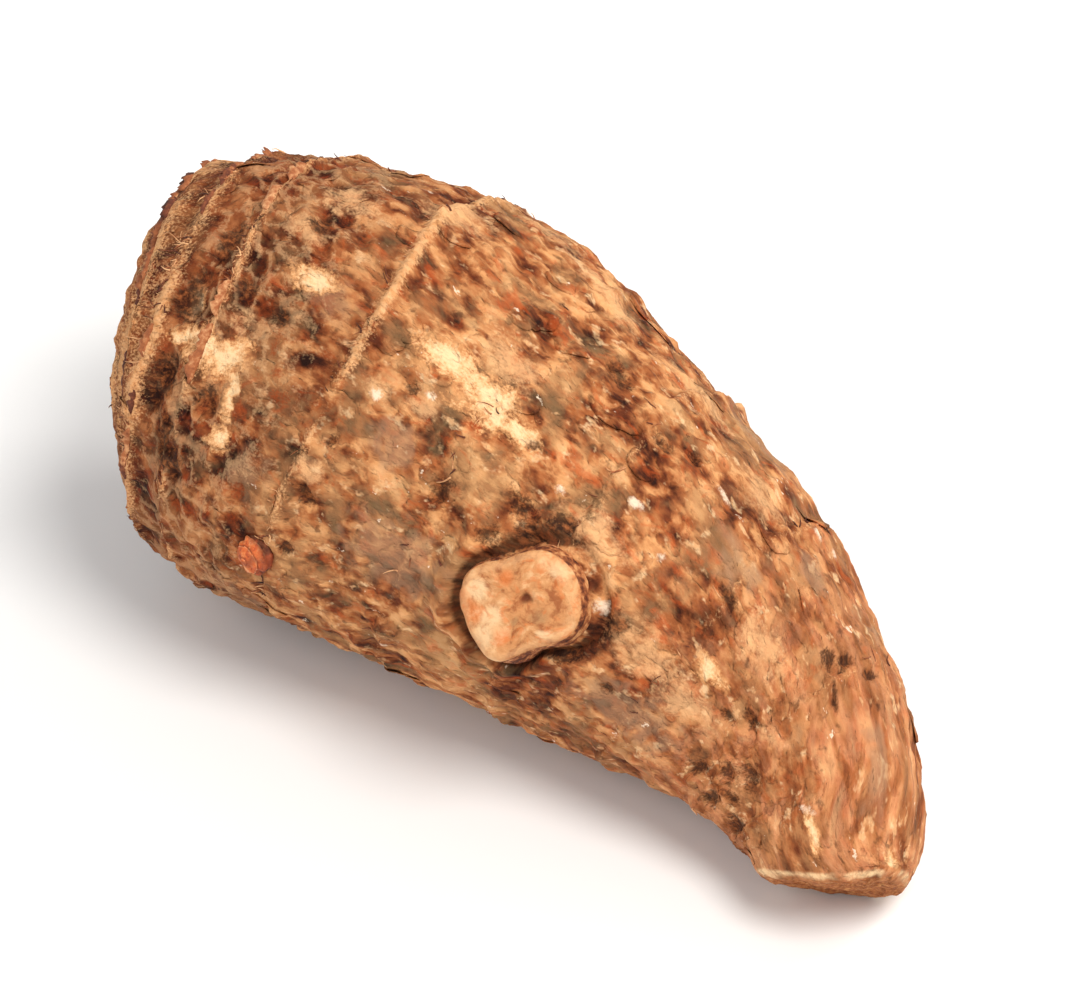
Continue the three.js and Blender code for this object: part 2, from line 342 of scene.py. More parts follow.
# Small whitish flecks, partly painted glints, measured the same way.
FLECKS_AND_GLINTS = (
    (35, 2.25, 1.0, 0.8), (40, 2.13, 0.9, 0.7), (56, 2.15, 0.9, 0.7), (63, 1.94, 1.0, 0.7),
    (66.2, 2.45, 1.2, 1.3), (68, 2.04, 0.9, 0.8), (70, 1.47, 1.3, 0.7), (77, 0.89, 1.0, 0.5),
    (79, 0.79, 0.8, 0.5), (99.5, 1.96, 0.7, 1.4), (32, 0.7, 0.8, 0.6), (58, 5.7, 0.9, 0.7),
    (22, 4.4, 0.8, 0.6), (75, 4.3, 0.9, 0.6), (47, 3.4, 0.7, 0.6), (88, 0.1, 0.9, 0.5),
)
# The fields of patches: the table, the seed of its noise and how ragged its outlines are.
PATCHES = {
    "scuff": (SCUFFS, 21, 0.45),
    "pale": (PALES, 36, 0.5),
    "stain": (STAINS, 24, 0.4),
    "dull": (DULLS, 27, 0.7),
    "rusty": (RUSTS, 45, 0.5),
    "fleck_and_glint": (FLECKS_AND_GLINTS, 33, 0.5),
}
# Beyond this share of the rim's radius the patches are drawn. The end faces have none.
PATCHES_FROM = 0.97
# Heights and depths of the bark's relief, and the share that is left in dull and scraped patches.
LUMPS = ((0.34, 6.0, 6), (0.38, 3.2, 7), (0.16, 1.8, 8))
FIBRE_HEIGHT = 0.05
FIBRE_HEIGHT_ADDED_AT_TIP = 0.08
WRINKLE_HEIGHT = 0.09
CRACK_DEPTH = 0.13
PLATE_STEP = 0.14
PLATE_HEIGHT = 0.09
FLAKE_STEP = 0.12
NET_HEIGHT = 0.12
NET_PIT_DEPTH = 0.4
STAIN_DEPTH = 0.45
FLECK_HEIGHT = 0.2
SCUFF_DEPTH = 0.15
LEFT_IN_DULL = 0.55
LEFT_IN_SCUFF = 0.4
# The crown's torn terraces and the tip's broken face: height, size and seed of each layer of noise.
CROWN_RAGGED = ((0.025, 3.0, 60), (0.015, 1.1, 61))
CROWN_ROUGH = ((0.3, 2.0, 62), (0.2, 1.0, 63))
TIP_ROUGH = ((0.3, 1.9, 64), (0.15, 0.8, 65))
# Leaf scars on the crown's face, as shares of its radius.
CROWN_RIDGES = (0.93, 0.85, 0.7, 0.58, 0.47, 0.37, 0.27)
RING_EDGE = 0.38
RING_BACK = 1.5
CREVICE_AT = 7.6
CREVICE_WIDTH = 0.5
CREVICE_DEPTH = 1.4
CREVICE_SHIFT = (0.45, 0.0)
# The two sides, as angles round the stub, where a wider hollow lies outside the crevice, sunk and
# darkened with painted shade.
HOLLOW_SIDES = (-0.1, 2.1)
HOLLOW_SPREAD = 0.6
COLLAR_AT = 8.9
COLLAR_WIDTH = 1.3
COLLAR_HEIGHT = 1.6
WRINKLES_ROUND_STUB = 13
# The side where the crevice is nearly closed and a low lip of bark leans on the stub.
LIP_SIDE = 1.05
LIP_SPREAD = 0.6
LIP_AT = 7.3
LIP_HEIGHT = 0.7
WART_COUNT = 420
PIT_COUNT = 200
SCATTER_SEED = 11


def scatter(count, random):
    """Random places on the skin, more of them near the crown and beside the rings."""
    row = LENGTH * random.random(count * 4) ** 1.15
    angle = 2 * math.pi * random.random(count * 4)
    nearest = np.min([np.abs(row - at) for at in RING_PLACES], axis=0)
    wanted = (0.35 + 0.65 * hump(nearest, 3.0)) * measure("radius", row) / 26
    kept = np.flatnonzero(random.random(count * 4) < wanted)[:count]
    return row[kept], angle[kept]


def scatter_spots(count, radii, heights, random):
    row, angle = scatter(count, random)
    return row, angle, random.uniform(*radii, len(row)), random.uniform(*heights, len(row))


RANDOM = np.random.default_rng(SCATTER_SEED)
WARTS = scatter_spots(WART_COUNT, (0.5, 1.25), (0.15, 0.5), RANDOM)
PITS = scatter_spots(PIT_COUNT, (0.45, 1.1), (0.15, 0.45), RANDOM)


def spots(places, table, stretch=1.0):
    """Round bumps or pits summed over the table: row, angle, radius and height of each."""
    total = np.zeros(len(places))
    order = np.argsort(places[:, 0], kind="stable")
    along = places[order, 0]
    for row, angle, radius, height in zip(*table):
        centre = straighten(row, angle)
        reach = 3 * radius * stretch
        first, last = np.searchsorted(along, (centre[0] - reach, centre[0] + reach))
        near = order[first:last]
        away = (places[near] - centre) / (radius * stretch, radius, radius)
        total[near] += height * np.exp(-(away ** 2).sum(axis=1))
    return total


def push(places, size, seed):
    """A random shift in all three directions for each place."""
    return np.stack([noise(places, size, seed + axis) for axis in range(3)], axis=-1)


def patch_field(places, patches, seed, ragged=0.5):
    """Above 0 inside the patches. Noise bends their outlines, the wide ones' more, and roughens them."""
    shift = 0.6 * push(places, 3.2, seed) + 0.3 * push(places, 1.3, seed + 3)
    field = np.full(len(places), -1.0)
    for at, angle, half_length, half_width in patches:
        pushed = places + min(half_width, 2.0) * shift
        away = (pushed - straighten(at, angle)) / (half_length, half_width, half_width)
        field = np.maximum(field, 1 - np.sqrt((away ** 2).sum(axis=1)))
    return field + ragged * (0.7 * noise(places, 1.5, seed + 6) + 0.5 * noise(places, 0.7, seed + 7))


def ring_relief(row, angle, places):
    """Ragged collars: steep towards the crown, where each leaf base tore off, gentle towards the tip."""
    height = np.zeros(len(row))
    line = np.zeros(len(row))
    # Painted shade for the sunk foot on the crown side of each ring.
    hollow_shade = np.zeros(len(row))
    for index, (at, ring_height, clear_angle, clear_width, _, line_width) in enumerate(RINGS):
        away = row - at + layers(places, ((0.55, 5.0, 30 + index), (0.16, 1.2, 40 + index)))
        clear = hump(2 * np.sin((angle - clear_angle) / 2), clear_width)
        patchy = 0.3 + 0.55 * clear + (0.6 - 0.2 * clear) * noise(places, 5.0, 50 + index)
        patchy = ring_height ** 0.5 * np.clip(patchy, 0.05, 1.1)
        height += patchy * np.where(away < 0, hump(away, RING_EDGE), hump(away, RING_BACK))
        foot = hump(away + line_width + 0.7, 0.7)
        height -= 0.25 * patchy * foot
        line += patchy * hump(away - 0.1, line_width)
        hollow_shade += patchy * foot
    return height, line, hollow_shade


def crown_ridges(row, share, places):
    """Height of the broken ridges on the crown's face, and their sunk foot, which is darkened with
    painted shade.
    """
    radius = measure("radius", 0.0)
    height = np.zeros(len(share))
    foot = np.zeros(len(share))
    for index, at in enumerate(CROWN_RIDGES):
        away = (share - at) * radius + layers(places, ((0.5, 3.5, 110 + index), (0.25, 1.1, 120)))
        broken = np.clip(0.55 + 1.1 * noise(places, 5.0, 130 + index), 0, 1)
        height += broken * np.where(away > 0, hump(away, 0.35), hump(away, 0.8))
        foot += broken * hump(away - 0.8, 0.5)
    on_face = smoothstep(1 - share, 0.0, 0.06) * (row < LENGTH / 2)
    return height * on_face, foot * on_face


def bud_moats(row, angle):
    """The narrow hollow round each bud."""
    moat = np.zeros(len(row))
    for at, bud_angle, radius, _, _ in BUDS:
        away = np.hypot(row - at, measure("radius", at) * full_turn(angle - bud_angle))
        moat += hump(away - 1.15 * radius, 0.4)
    return moat


def stub_relief(row, angle, places):
    """The crevice round the side stub, the collar outside it and the skin puckered towards it, then the
    crevice's mask for painted shade.
    """
    ahead = row - STUB_AT
    aside = -measure("radius", STUB_AT) * (angle - STUB_ANGLE)
    side = np.arctan2(aside, ahead)
    closed = hump(side - LIP_SIDE, LIP_SPREAD)
    lip = LIP_HEIGHT * closed * hump(np.hypot(ahead, aside) - LIP_AT, 0.9)
    ahead, aside = ahead - CREVICE_SHIFT[0], aside - CREVICE_SHIFT[1]
    around = np.arctan2(aside, ahead)
    away = np.hypot(ahead, aside) / stub_outline(around) + 0.4 * noise(places, 3.0, 70)
    hollow = sum(hump(full_turn(around - facing), HOLLOW_SPREAD) for facing in HOLLOW_SIDES)
    crevice = (0.85 + 0.3 * hollow - 0.6 * closed) * hump(away - CREVICE_AT, CREVICE_WIDTH)
    crevice += 0.6 * hollow * hump(away - CREVICE_AT - 1.2, 1.1)
    collar = (0.9 - 0.5 * hollow) * hump(away - COLLAR_AT, COLLAR_WIDTH)
    folds = np.cos(WRINKLES_ROUND_STUB * around + 2.5 * noise(places, 4.0, 71))
    puckers = 0.2 * folds * hump(away - COLLAR_AT - 0.5, 2.4)
    return COLLAR_HEIGHT * collar + lip + puckers - CREVICE_DEPTH * crevice, crevice


def crown_share(row):
    return 1 - smoothstep(row, 6, 34)


def tip_share(row):
    return smoothstep(row, 62, 96)


def netting(row, places):
    """A net of ridges between sunken pits, on the skin nearest the crown."""
    border, kind = cells(places, (2.9, 2.7, 2.7), 14)
    netted = smoothstep(row, 5.5, 8) * (1 - smoothstep(row, 20, 34))
    sunk = netted * smoothstep(kind, 0.35, 0.5) * smoothstep(border, 0.1, 0.7)
    return netted * hump(border, 0.16), sunk


def bark_relief(row, places, on_body):
    """The height of the bark with its net, scales, cracks and plates, and their fields."""
    crown, tip = crown_share(row), tip_share(row)
    bend = 0.9 * push(places, 7.0, 1)
    bent = places + bend
    fibres = crests(bent, (9.0, 1.5, 1.5), 4) + 0.6 * crests(bent, (5.0, 1.1, 1.1), 5)
    fibres = (FIBRE_HEIGHT + FIBRE_HEIGHT_ADDED_AT_TIP * tip) * (fibres - 0.5)
    rim_band = 1 - smoothstep(row, 5.0, 7.5)
    lumps = layers(places, LUMPS) * (1 + 0.5 * crown - 0.35 * tip - 0.8 * rim_band)
    wrinkles = WRINKLE_HEIGHT * noise(bent, (1.3, 8.0, 8.0), 9) * (0.25 + 1.2 * crown)
    cracks = crests(bent, (2.6, 2.0, 2.0), 12) * (0.5 + 0.5 * crown)
    border, plate = cells(bent, (2.0, 1.5, 1.5), 13)
    plates = PLATE_STEP * (plate - 0.5) + PLATE_HEIGHT * smoothstep(border, 0.0, 0.35)
    net, sunk = netting(row, places + 0.5 * bend)
    flake = 0.7 * noise(bent, (3.0, 2.2, 2.2), 10) + 0.6 * noise(places, (1.6, 1.2, 1.2), 11)
    flake += 0.3 * crown - 0.15 * tip
    flakes = FLAKE_STEP * (smoothstep(flake, -0.05, 0.15) - 0.5)
    rough = lumps + flakes - CRACK_DEPTH * cracks + plates
    rough += (fibres * (1 - 0.6 * crown) + wrinkles + NET_HEIGHT * net - NET_PIT_DEPTH * sunk) * on_body
    fields = {"flake": flake, "crack": cracks, "plate": plate}
    return rough, {**fields, "pit": sunk * on_body, "net": net * on_body}


def skin_features(row, angle, share):
    """The fine height of the skin in millimetres, and the fields that its colours follow."""
    places = straighten(row, angle, share)
    on_body = smoothstep(share, 0.9, 1.0)
    rough, fields = bark_relief(row, places, on_body)
    patches = {name: patch_field(places, *made) for name, made in PATCHES.items()}
    scraped = smoothstep(patches["scuff"], 0.0, 0.3) * on_body
    rings, line, hollow_shade = ring_relief(row, angle, places)
    puckers, crevice = stub_relief(row, angle, places)
    ridges, ridge_foot = crown_ridges(row, share, places)
    moat = bud_moats(row, angle)
    warts = spots(places, WARTS)
    pits = spots(places, PITS, stretch=1.3)

    rough *= 1 - (1 - LEFT_IN_DULL) * smoothstep(patches["dull"], -0.1, 0.5)
    height = rough * (1 - (1 - LEFT_IN_SCUFF) * scraped) - SCUFF_DEPTH * scraped
    height += (warts - pits + rings + puckers - 0.4 * moat) * on_body
    height += FLECK_HEIGHT * smoothstep(patches["fleck_and_glint"], 0.0, 0.5) * on_body
    height -= STAIN_DEPTH * smoothstep(patches["stain"], 0.0, 0.6) * on_body
    for name, field in patches.items():
        fields[name] = np.where(share > PATCHES_FROM, field, -1.0)
    fields["ring"] = line * on_body + 0.8 * ridges
    # Painted shade: this field darkens the rings' sunk feet, the stub's crevice and hollows, the buds'
    # moats and the crown ridges' feet.
    fields["hollow_shade"] = (hollow_shade + 2.3 * crevice + moat) * on_body + 0.9 * ridge_foot
    fields["ridges"] = ridges - 0.5 * ridge_foot
    # The relief field also drives painted light and shade: the colours are lighter on its high ground
    # and darker in its low ground and pits.
    fields["relief"] = rough / 0.3 + 1.2 * warts - 2.4 * pits
    return height, fields, places


def crown_out(share, ridges, places):
    """How far the crown's face stands out, with its terraces torn ragged."""
    shares, outs = np.array(CROWN_FACE[::-1]).T
    stands = np.interp(share + layers(places, CROWN_RAGGED), shares, outs) + 0.45 * ridges
    return stands + layers(places, CROWN_ROUGH) * smoothstep(1 - share, 0.0, 0.1)


def tip_out(share, places):
    """How far the tip's broken face stands out."""
    shares, outs = np.array(TIP_FACE[::-1]).T
    return np.interp(share, shares, outs) + layers(places, TIP_ROUGH) * smoothstep(1 - share, 0.0, 0.12)


def skin_reach(row, angle):
    at = station(row, angle)
    radius = measure("radius", at)
    return at, radius * (1 + waves(SWELLINGS, at, angle) / SWELLING_RADIUS) + shoulder_height(row, angle)


def place_round(at, angle, reach):
    """Points at this distance from the corm's middle line."""
    _, across, upward = directions(at)
    outward = np.cos(angle)[..., None] * across + np.sin(angle)[..., None] * upward
    return middle(at) + np.asarray(reach)[..., None] * outward


def skin_surface(row, angle, share=None):
    """Points of the finished skin, with the colour fields and the straightened places."""
    share = np.ones(len(row)) if share is None else share
    angle = angle % (2 * math.pi)
    height, fields, places = skin_features(row, angle, share)
    at, reach = skin_reach(row, angle)
    points = place_round(at, angle, reach + height)

    crown_face = (share < 1) & (row < LENGTH / 2)
    tip_face = (share < 1) & (row > LENGTH / 2)
    hub = np.where((share < 1)[:, None], middle(row), points)
    points = hub + share[:, None] * (points - hub)
    crown_forward, tip_forward = directions(np.array([0.0, LENGTH]))[0]
    crown_stands = crown_out(share, fields.pop("ridges"), places)
    points -= np.where(crown_face, crown_stands, 0)[:, None] * crown_forward
    points += np.where(tip_face, tip_out(share, places), 0)[:, None] * tip_forward
    points[:, 2] = np.maximum(points[:, 2], 0)
    fields["crown_face"] = np.where(crown_face, 1 - share, 0)
    fields["tip_face"] = np.where(tip_face, 1 - share, 0)
    return points, fields, places


def skin_frame(row, angle):
    """Outward, forward and sideways directions on the coarse skin."""
    step, turn = 0.5, 0.03
    ahead, behind = (place_round(*spread(row + move, angle)) for move in (step, -step))
    left, right = (place_round(*spread(row, angle + move)) for move in (turn, -turn))
    forward = unit(ahead - behind)
    outward = unit(np.cross(left - right, forward))
    return outward, forward, np.cross(forward, outward)


def spread(row, angle):
    at, reach = skin_reach(row, angle)
    return at, angle, reach


# ---- Meshes ----


def turns(count):
    """Angles at even steps once round."""
    return np.linspace(0, 2 * math.pi, count, endpoint=False)


def tube_faces(rows, around, first=0):
    """Faces of rows of points that close round. A middle point after them closes each end."""
    side = np.arange(around)
    following = (side + 1) % around
    quads = []
    for here in range(first, first + (rows - 1) * around, around):
        near, far = (here + side, here + following), (here + around + following, here + around + side)
        quads.append(np.stack([*near, *far], axis=1))
    start, finish = first + rows * around, first + rows * around + 1
    last = first + (rows - 1) * around
    pairs = list(zip(side.tolist(), following.tolist()))
    fans = [(start, first + b, first + a) for a, b in pairs]
    fans += [(finish, last + a, last + b) for a, b in pairs]
    return np.concatenate(quads).tolist() + fans


def close_ends(grid):
    """Rows of points, then the middles of the first and last rows: shape (..., rows, around, 3)."""
    flat = grid.reshape(*grid.shape[:-3], -1, grid.shape[-1])
    ends = grid[..., (0, -1), :, :].mean(axis=-2)
    return np.concatenate([flat, ends], axis=-2)


def store(mesh, name, kind, member, values):
    """Keeps one value or vector for each point of the mesh, for the material to read."""
    attribute = mesh.attributes.new(name, kind, "POINT")
    attribute.data.foreach_set(member, np.asarray(values, np.float32).ravel())


def build_piece(name, grid, fields, places, material, average_ends=True):
    """A smooth object of closed tubes that rides on the corm's body.

    grid holds the points in millimetres and has the shape (tubes, rows, around, 3). fields are the
    values that the material reads, and places are the points that its patterns follow. The point in
    the middle of an end takes its row's average values, or else those of the first or last point.
    """
    tubes, rows, around = grid.shape[:3]
    points = close_ends(grid)
    firsts = np.arange(tubes) * points.shape[1]
    faces = [face for first in firsts.tolist() for face in tube_faces(rows, around, first)]
    mesh = bpy.data.meshes.new(name)
    mesh.from_pydata((points.reshape(-1, 3) * MM).tolist(), [], faces)
    mesh.shade_smooth()
    mesh.materials.append(material)
    for field, values in fields.items():
        each = np.broadcast_to(values, grid.shape[:3])
        closed = close_ends(each[..., None])
        if not average_ends:
            closed[:, -2:, 0] = each[:, (0, -1), (0, -1)]
        store(mesh, field, "FLOAT", "value", closed)
    store(mesh, "straight", "FLOAT_VECTOR", "vector", close_ends(places))
    piece = bpy.data.objects.new(name, mesh)
    bpy.context.scene.collection.objects.link(piece)
    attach(piece, BODY)
    return piece


def reshaped(fields, shape):
    return {name: values.reshape(shape) for name, values in fields.items()}


SKIN_AROUND = 340
SKIN_STEP = 0.53
SKIN_STEP_AT_RING = 0.36
CROWN_STEPS = 40
TIP_STEPS = 16


def skin_rows():
    """Distances from the crown of the rows of points, closer together at the rings."""
    rows = [0.0]
    while rows[-1] < LENGTH:
        nearest = min(abs(rows[-1] - at) for at in RING_PLACES)
        share = smoothstep(nearest, 1.2, 2.6)
        rows.append(rows[-1] + SKIN_STEP_AT_RING + share * (SKIN_STEP - SKIN_STEP_AT_RING))
    rows = np.array(rows)
    return rows * LENGTH / rows[-1]


def build_skin(material):
    body = skin_rows()
    rows = np.concatenate([np.zeros(CROWN_STEPS), body, np.full(TIP_STEPS, LENGTH)])
    crown_shares = np.linspace(0.015, 0.985, CROWN_STEPS)
    tip_shares = np.linspace(0.97, 0.03, TIP_STEPS)
    shares = np.concatenate([crown_shares, np.ones(len(body)), tip_shares])
    row, angle = (grid.ravel() for grid in np.meshgrid(rows, turns(SKIN_AROUND), indexing="ij"))
    points, fields, places = skin_surface(row, angle, np.repeat(shares, SKIN_AROUND))
    shape = (1, len(rows), SKIN_AROUND)
    skin = build_piece(
        "corm_skin", points.reshape(*shape, 3), reshaped(fields, shape), places.reshape(*shape, 3),
        material, average_ends=False)
    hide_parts(CORM)


# ---- The side stub and the buds ----

STUB_AROUND = 110
STUB_ROWS = 70
# A bud's profile, in shares of its radius and height.
BUD_PROFILE = (
    (1.12, -0.9), (1.12, -0.3), (1.08, 0.1), (0.9, 0.4), (0.58, 0.7), (0.26, 0.95), (0.02, 1.1),
)
BUD_AROUND = 60
BUD_ROWS = 44
BUD_SCALE_TURNS = 3.4


def growth_axes(at, angle, lean, rise):
    """Foot on the skin, growing direction and the two directions square to it."""
    at, angle = np.float64(at), np.float64(angle)
    forward, across, upward = directions(at)
    outward = math.cos(angle) * across + math.sin(angle) * upward
    growth = unit(outward + lean * forward + np.array([0, 0, rise]))
    side = unit(forward - growth * forward.dot(growth))
    return place_round(*spread(at, angle)), growth, side, np.cross(growth, side)


def along_profile(profile, count):
    """Radii, heights and shares of the way at even steps along a profile, as columns."""
    corners = np.array(profile, float)
    runs = np.concatenate([[0], np.cumsum(np.linalg.norm(np.diff(corners, axis=0), axis=1))])
    steps = np.linspace(0, runs[-1], count)
    radius, height = (np.interp(steps, runs, corner) for corner in corners.T)
    return radius[:, None], height[:, None], steps[:, None] / runs[-1]


def spots_on_face(ahead, aside, table):
    """Soft round spots summed over the table: place and radius of each."""
    return sum(hump(np.hypot(ahead - x, aside - y), size) for x, y, size in table)


def stub_fields(local, radius, face):
    ahead, aside, _ = np.moveaxis(local, -1, 0)
    wobble = 0.35 * noise_on(local, 0.9, 84)
    return {
        "face": face,
        "pit": hump(np.hypot(ahead - STUB_PIT[0], aside - STUB_PIT[1]) + wobble, 0.6),
        "blotch": spots_on_face(ahead, aside, STUB_BLOTCHES),
        "tint": spots_on_face(ahead, aside, STUB_TINTS),
        "smear": spots_on_face(ahead, aside, STUB_SMEARS),
        "rim": hump(radius - 5.7, 0.7),
    }


def build_stub(material):
    """The stub, even at first and then with its outline, its bark and its cut face made uneven."""
    foot, growth, side, other = growth_axes(STUB_AT, STUB_ANGLE, STUB_LEAN, STUB_RISE)
    radius, height, _ = along_profile(STUB_PROFILE, STUB_ROWS)
    radius, height, turn = np.broadcast_arrays(radius, height, turns(STUB_AROUND))
    local = np.stack([radius * np.cos(turn), radius * np.sin(turn), height], axis=-1)
    face = smoothstep(height, 0.9, 1.7) * smoothstep(6.6 - radius, -0.1, 0.5)
    fields = stub_fields(local, radius, face)
    rough = 0.3 * noise_on(local, 2.6, 81) + 0.14 * noise_on(local, 1.0, 82)
    rim = 0.25 * hump(radius - 5.9, 0.5) * (0.4 + noise_on(local, 2.5, 83))
    grow = stub_outline(turn) * (1 + 0.03 * noise_on(local, 3.0, 80)) + (1 - face) * rough / 8
    raised = smoothstep(height, -2, 2)
    ahead = local[..., 0] * grow + STUB_SHIFT[0] * raised
    aside = local[..., 1] * grow + STUB_SHIFT[1] * raised
    up = height + face * (rough + rim - 0.7 * fields["pit"] + 0.12 * fields["blotch"])
    points = foot + ahead[..., None] * side + aside[..., None] * other + up[..., None] * growth
    build_piece(
        "stub_shoot", points[None], fields, local[None], material, average_ends=False)


def bud_points(at, angle, size, tall, lean):
    """One bud of overlapping scales, with the share of the way from its foot to its point."""
    foot, growth, side, other = growth_axes(at, angle, lean, 0)
    radius, height, share = along_profile(BUD_PROFILE, BUD_ROWS)
    turn = turns(BUD_AROUND)
    winding = (BUD_SCALE_TURNS * share - turn / (2 * math.pi)) % 1.0
    scales = 0.10 * (1 - winding) + 0.03 * np.cos(9 * turn + 4 * share)
    even = np.broadcast_arrays(radius * np.cos(turn), radius * np.sin(turn), height)
    uneven = noise_on(np.stack(even, axis=-1) + at, 0.6, 95)
    bulge = np.sin(math.pi * share)
    across = size * (radius * (1 + 0.16 * uneven) + scales * bulge)
    up = tall * (height + (0.5 * scales + 0.2 * uneven) * bulge)
    outward = np.cos(turn)[:, None] * side + np.sin(turn)[:, None] * other
    return foot + across[..., None] * outward + up[..., None] * growth, share, winding


def build_buds(material):
    buds = [bud_points(*bud) for bud in BUDS]
    grid = np.stack([points for points, _, _ in buds])
    fields = {
        "share": np.stack([share for _, share, _ in buds]),
        "winding": np.stack([winding for _, _, winding in buds]),
    }
    build_piece("sleeping_buds", grid, fields, grid, material)


# ---- Fibres, scraps of leaf base and lifted skin ----

FIBRES_ON_CROWN = 260
FIBRE_STEPS = 6
FIBRE_SIDES = 5
ROOTLET_COUNT = 14
FLAKE_COUNT = 170
FLAKE_AROUND = 16
SCRAP_COUNT = 64
SCRAP_STEPS = 12
FIBRE_SEED = 23
FLAKE_SEED = 29
SCRAP_SEED = 31
# How far the pieces stay above the ground.
FIBRES_CLEAR = 0.25
SCRAPS_CLEAR = 0.1
FLAKES_CLEAR = 0.05
# A flake in section, from the middle of its top over the edge to the middle of its underside: the
# share of its radius, and how much of its thickness lies under it.
FLAKE_SHARES = np.array([0.05, 0.4, 0.75, 1.0, 1.0, 0.75, 0.4, 0.05])
FLAKE_TOP = np.array([1, 1, 1, 0.6, 0, 0, 0, 0])
# A scrap in section, from its foot up one side and down the other: share of its height, and side.
SCRAP_SHARES = np.array([-0.3, 0.3, 0.7, 1.0, 1.0, 0.7, 0.3, -0.3])[:, None]
SCRAP_SIDES = np.array([1, 1, 1, 1, -1, -1, -1, -1])[:, None]


def raise_above_ground(points, clear):
    points[..., 2] = np.maximum(points[..., 2], clear)


def tube_points(paths, radii, sides):
    """Tapering tubes along many paths at once: paths (tubes, steps, 3) and radii (tubes, steps)."""
    forward = unit(np.gradient(paths, axis=1))
    side = unit(np.cross(forward, (0.31, 0.52, 0.79)))
    other = np.cross(forward, side)
    turn = turns(sides)[:, None]
    around = np.cos(turn) * side[:, :, None] + np.sin(turn) * other[:, :, None]
    return paths[:, :, None] + radii[:, :, None, None] * around


def hairs(row, angle, share, length, radius, heading, lift, random):
    """Curved hairs that lie on the skin and lift off it towards their ends. Heading 0 is to the tip."""
    count = len(row)
    step = np.linspace(0, 1, FIBRE_STEPS)
    turning = heading[:, None] + random.normal(0, 0.25, count)[:, None] * step
    ahead = length[:, None] * step * np.cos(turning)
    aside = length[:, None] * step * np.sin(turning)
    on_face = (share < 1)[:, None]
    radius_here = measure("radius", row)[:, None]
    rows = np.where(on_face, row[:, None], np.clip(row[:, None] + ahead, 0.1, LENGTH - 0.1))
    shares = np.where(on_face, np.clip(share[:, None] + ahead / radius_here, 0.03, 0.995), 1.0)
    angles = angle[:, None] + aside / radius_here / np.maximum(shares, 0.2)
    skin, _, _ = skin_surface(rows.ravel(), angles.ravel(), shares.ravel())
    outward, forward, _ = skin_frame(rows.ravel(), angles.ravel())
    outward = np.where(on_face.repeat(FIBRE_STEPS)[:, None], -forward, outward)
    rise = (lift * length)[:, None] * step ** 2 - 0.1 * (1 - step)
    paths = skin + (rise + radius[:, None]).reshape(-1, 1) * outward
    raise_above_ground(paths, FIBRES_CLEAR)
    return paths.reshape(count, FIBRE_STEPS, 3), radius[:, None] * (1 - 0.7 * step ** 1.5)


def ring_hairs(random):
    """Fibres left along each leaf scar, thickest where the scar is most torn."""
    rows, angles = [], []
    for index, (at, _, _, _, count, _) in enumerate(RINGS):
        angle = random.uniform(0, 2 * math.pi, count * 3)
        torn = noise(straighten(np.full(count * 3, float(at)), angle), 6.0, 90 + index)
        kept = np.flatnonzero(torn + random.normal(0, 0.15, count * 3) > 0.0)[:count]
        rows.append(at + random.normal(-0.2, 0.35, len(kept)))
        angles.append(angle[kept])
    row, angle = np.maximum(np.concatenate(rows), 0.2), np.concatenate(angles)
    count = len(row)
    length = random.uniform(0.5, 1.8, count)
    heading = math.pi + random.normal(0, 0.7, count)
    radius = random.uniform(0.05, 0.13, count)
    lift = random.uniform(0.0, 0.3, count)
    return hairs(row, angle, np.ones(count), length, radius, heading, lift, random)


def crown_hairs(random):
    """Torn fibres lying on the crown's terraces."""
    count = FIBRES_ON_CROWN
    share = random.choice(CROWN_RIDGES, count) + random.normal(0, 0.015, count)
    angle = random.uniform(0, 2 * math.pi, count)
    length = random.uniform(0.8, 3.0, count)
    heading = math.pi + random.normal(0, 0.6, count)
    radius = random.uniform(0.05, 0.12, count)
    lift = random.uniform(0.0, 0.25, count)
    share = np.clip(share, 0.1, 0.98)
    return hairs(np.zeros(count), angle, share, length, radius, heading, lift, random)


def rootlets(random):
    """Short remains of thin roots, lying close to the skin."""
    row, angle = scatter(ROOTLET_COUNT, random)
    count = len(row)
    length = random.uniform(0.8, 2.4, count)
    radius = random.uniform(0.08, 0.18, count)
    heading = random.uniform(0, 2 * math.pi, count)
    lift = random.uniform(0.0, 0.18, count)
    return hairs(row, angle, np.ones(count), length, radius, heading, lift, random)


def build_fibres(material):
    random = np.random.default_rng(FIBRE_SEED)
    groups = [ring_hairs(random), crown_hairs(random), rootlets(random)]
    paths, radii = (np.concatenate(parts) for parts in zip(*groups))
    grid = tube_points(paths, radii, FIBRE_SIDES)
    fields = {
        "share": np.linspace(0, 1, FIBRE_STEPS)[:, None],
        "tone": random.random(len(radii))[:, None, None],
    }
    build_piece("leaf_base_fibres", grid, fields, grid, material)


def scrap_shapes(random):
    """Row, angle, width, height and lean of each scrap."""
    row = random.choice([0.8, *RING_PLACES[:3]], SCRAP_COUNT, p=[0.35, 0.3, 0.22, 0.13])
    angle = random.uniform(0, 2 * math.pi, SCRAP_COUNT)
    angle[:SCRAP_COUNT // 3] = random.normal(1.55, 0.35, SCRAP_COUNT // 3)
    width = random.uniform(1.5, 5.0, SCRAP_COUNT)
    tall = random.uniform(0.5, 1.4, SCRAP_COUNT)
    lean = random.uniform(0.5, 1.3, SCRAP_COUNT)
    return row, angle, width, tall, lean


